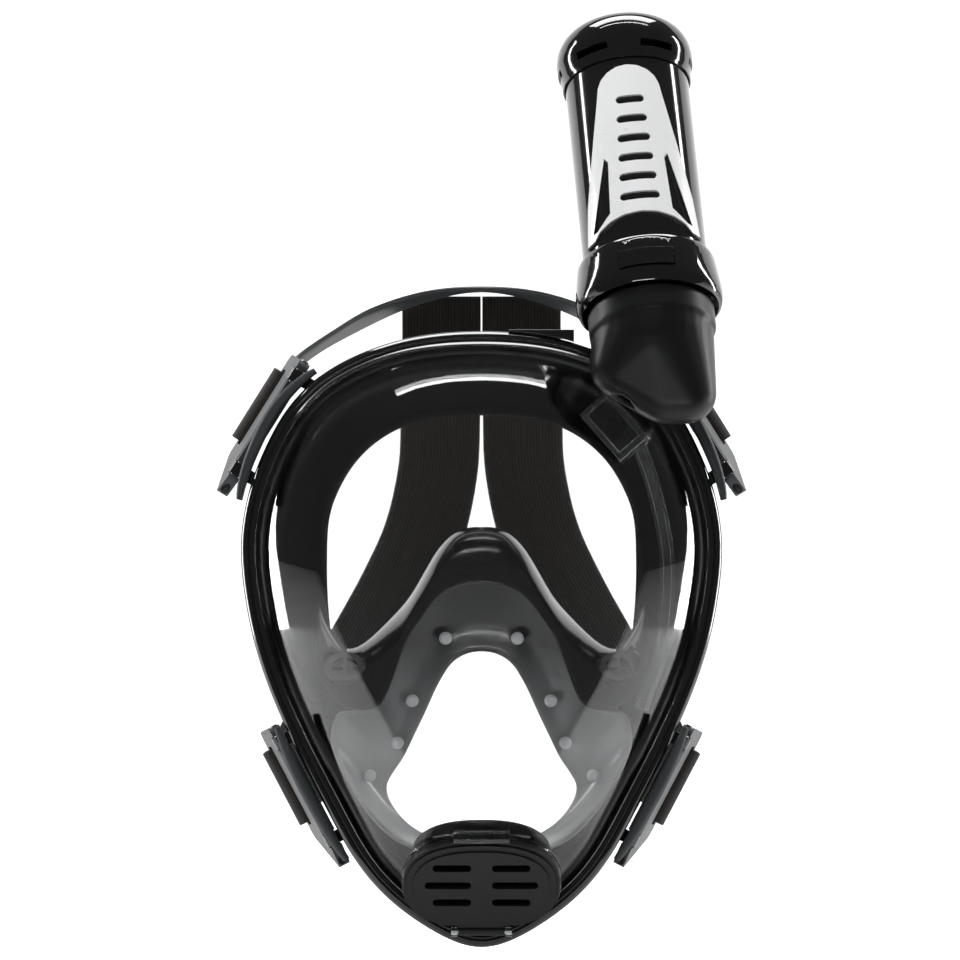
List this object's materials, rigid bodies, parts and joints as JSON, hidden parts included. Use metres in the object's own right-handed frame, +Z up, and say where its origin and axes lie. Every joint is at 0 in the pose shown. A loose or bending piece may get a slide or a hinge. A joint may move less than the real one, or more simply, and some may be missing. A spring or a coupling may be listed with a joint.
{
  "type": "full face snorkel mask",
  "caption": "Full face snorkel mask with one clear lens, separate breathing chamber, quick release dry-top snorkel, chin drain and four point elastic strap.",
  "frame": {"origin": "centre of the face seal, level with the lower edge of the eyes", "axes": "+X to the wearer's left, +Y from the lens towards the face, +Z up"},
  "size_m": [0.208, 0.1894, 0.3673],
  "materials": {
    "clear": "clear polycarbonate",
    "gloss_black": "glossy black plastic",
    "soft_black": "black silicone",
    "elbow_black": "satin black plastic",
    "smoke": "smoke grey silicone",
    "grey": "matte mid grey plastic",
    "webbing": "ribbed elastic webbing",
    "silver": "satin silver",
    "steel": "stainless steel",
    "float_foam": "light closed foam float"
  },
  "bodies": {
    "mask": {"lens": "clear", "front_frame": "gloss_black", "rear_frame": "gloss_black", "frame_screws": "steel", "face_skirt": "soft_black", "nose_hood": "soft_black", "smoke_panel": "smoke", "panel_studs": "clear", "inhale_seats": "soft_black", "drain_body": "elbow_black", "drain_bezel": "clear", "drain_hinge_pin": "steel", "exhale_duct": "clear", "duct_coupler": "clear", "tube_socket": "gloss_black", "snorkel_elbow": "elbow_black", "spigot_seal": "soft_black", "upper_lugs": "gloss_black", "lower_lugs": "gloss_black", "buckle_pins": "steel", "crown_yoke": "grey", "strap_left": "webbing", "strap_right": "webbing"},
    "snorkel": {"snorkel_tube": "gloss_black", "tube_divider": "elbow_black", "tube_badge": "silver", "lock_ring": "gloss_black", "button_spring": "steel", "float_cage": "elbow_black", "top_cap": "gloss_black", "cap_screws": "steel"},
    "latch": {"latch_button": "gloss_black"},
    "float_unit": {"float": "float_foam", "float_seal": "soft_black"},
    "inhale_left": {"inhale_flap_left": "soft_black"},
    "inhale_right": {"inhale_flap_right": "soft_black"},
    "drain_valve": {"drain_flap": "soft_black"},
    "drain_lid": {"drain_cover": "elbow_black"},
    "drain_catch": {"drain_latch": "clear"},
    "exhale_valve": {"exhale_flap": "soft_black"},
    "upper_left_buckle": {"upper_clip_left": "grey", "upper_loop_left": "webbing"},
    "upper_right_buckle": {"upper_clip_right": "grey", "upper_loop_right": "webbing"},
    "lower_left_buckle": {"lower_clip_left": "grey", "lower_loop_left": "webbing"},
    "lower_right_buckle": {"lower_clip_right": "grey", "lower_loop_right": "webbing"}
  },
  "joints": [
    {"name": "snorkel_release", "type": "slide", "parent": "mask", "child": "snorkel", "axis": [-0.0839, 0.454, 0.8871], "range_m": [0, 0.03]},
    {"name": "latch_press", "type": "slide", "parent": "snorkel", "child": "latch", "axis": [0.0427, 0.891, -0.452], "range_m": [0, 0.0015], "stiffness_N_per_m": 700, "springref_m": -0.001},
    {"name": "float_rise", "type": "slide", "parent": "snorkel", "child": "float_unit", "axis": [-0.0839, 0.454, 0.8871], "range_m": [0, 0.006]},
    {"name": "inhale_left_open", "type": "hinge", "parent": "mask", "child": "inhale_left", "pos_m": [-0.053, -0.0143, -0.02306], "axis": [1, 0, 0], "range_deg": [0, 25], "stiffness_Nm_per_rad": 0.001, "springref_deg": -17.19},
    {"name": "inhale_right_open", "type": "hinge", "parent": "mask", "child": "inhale_right", "pos_m": [0.053, -0.0143, -0.02306], "axis": [1, 0, 0], "range_deg": [0, 25], "stiffness_Nm_per_rad": 0.001, "springref_deg": -17.19},
    {"name": "drain_flap_open", "type": "hinge", "parent": "mask", "child": "drain_valve", "pos_m": [0, -0.04562, -0.09057], "axis": [-1, 0, 0], "range_deg": [0, 20], "stiffness_Nm_per_rad": 0.002, "springref_deg": -17.19},
    {"name": "drain_cover_open", "type": "hinge", "parent": "mask", "child": "drain_lid", "pos_m": [0, -0.04345, -0.12848], "axis": [1, 0, 0], "range_deg": [0, 70]},
    {"name": "drain_latch_flex", "type": "hinge", "parent": "mask", "child": "drain_catch", "pos_m": [0, -0.06336, -0.08963], "axis": [-1, 0, 0], "range_deg": [0, 14], "stiffness_Nm_per_rad": 0.2, "springref_deg": -2.86},
    {"name": "exhale_flap_open", "type": "hinge", "parent": "mask", "child": "exhale_valve", "pos_m": [0.05269, -0.04702, 0.08496], "axis": [0, -1, 0], "range_deg": [0, 30], "stiffness_Nm_per_rad": 0.001, "springref_deg": -17.19},
    {"name": "upper_left_buckle_turn", "type": "hinge", "parent": "mask", "child": "upper_left_buckle", "pos_m": [-0.08203, -0.01175, 0.07262], "axis": [0.5305, 0, 0.8477], "range_deg": [-4, 10]},
    {"name": "upper_right_buckle_turn", "type": "hinge", "parent": "mask", "child": "upper_right_buckle", "pos_m": [0.08203, -0.01175, 0.07262], "axis": [0.5305, 0, -0.8477], "range_deg": [-4, 10]},
    {"name": "lower_left_buckle_turn", "type": "hinge", "parent": "mask", "child": "lower_left_buckle", "pos_m": [-0.07041, -0.01859, -0.07103], "axis": [-0.4644, 0, 0.8856], "range_deg": [-4, 10]},
    {"name": "lower_right_buckle_turn", "type": "hinge", "parent": "mask", "child": "lower_right_buckle", "pos_m": [0.07041, -0.01859, -0.07103], "axis": [-0.4644, 0, -0.8856], "range_deg": [-4, 10]}
  ]
}
